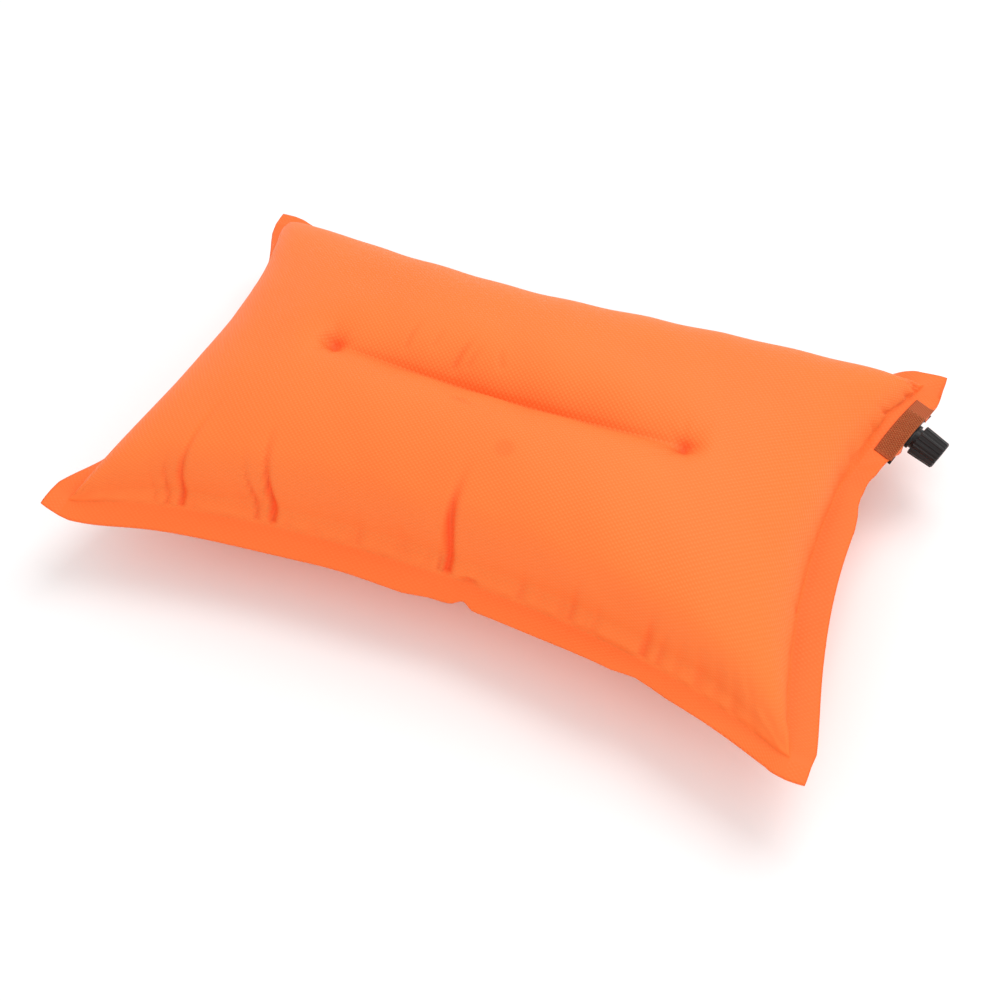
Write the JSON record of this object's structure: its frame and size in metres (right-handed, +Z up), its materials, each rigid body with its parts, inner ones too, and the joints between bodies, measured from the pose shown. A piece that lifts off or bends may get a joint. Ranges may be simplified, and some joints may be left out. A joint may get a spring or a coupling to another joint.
{
  "type": "camp pillow",
  "caption": "Self-inflating camp pillow: two welded fabric sheets round a foam core, with a lengthwise tied crease and a ribbed screw valve on its border.",
  "frame": {"origin": "centre of the underside of the whole object's box, on the surface that the pillow lies on", "axes": "+Z up through the pillow, +X along its long side towards the valve, +Y towards the corner beside the valve"},
  "size_m": [0.4631, 0.2721, 0.1057],
  "materials": {
    "coated_fabric": "orange polyester with a fine embossed dot pattern, coated inside",
    "foam": "open-cell polyurethane foam",
    "tie_film": "translucent film web",
    "patch_tape": "olive-brown hook tape",
    "backing_tape": "black tape",
    "weldable_plastic": "soft black moulding",
    "hard_plastic": "hard black moulding, satin",
    "seal_rubber": "black rubber"
  },
  "bodies": {
    "pillow": {"top_sheet": "coated_fabric", "bottom_sheet": "coated_fabric", "foam_core": "foam", "tie_strip": "tie_film", "upper_valve_patch": "patch_tape", "lower_valve_patch": "backing_tape", "valve_base": "weldable_plastic", "valve_stem": "hard_plastic", "stem_o_ring": "seal_rubber"},
    "cap_lift": {"cap_seal": "seal_rubber"},
    "cap": {"valve_cap": "hard_plastic"}
  },
  "joints": [
    {"name": "cap_slide", "type": "slide", "parent": "pillow", "child": "cap_lift", "axis": [0.9285, -0.2818, -0.2419], "range_m": [0, 0.004]},
    {"name": "cap_turn", "type": "hinge", "parent": "cap_lift", "child": "cap", "pos_m": [0.21002, 0.09247, 0.04448], "axis": [0.9285, -0.2818, -0.2419], "range_deg": [0, 360]}
  ],
  "couplings": [
    {"joint": "cap_turn", "follows": "cap_slide", "rad_per_m": 1570.8}
  ]
}
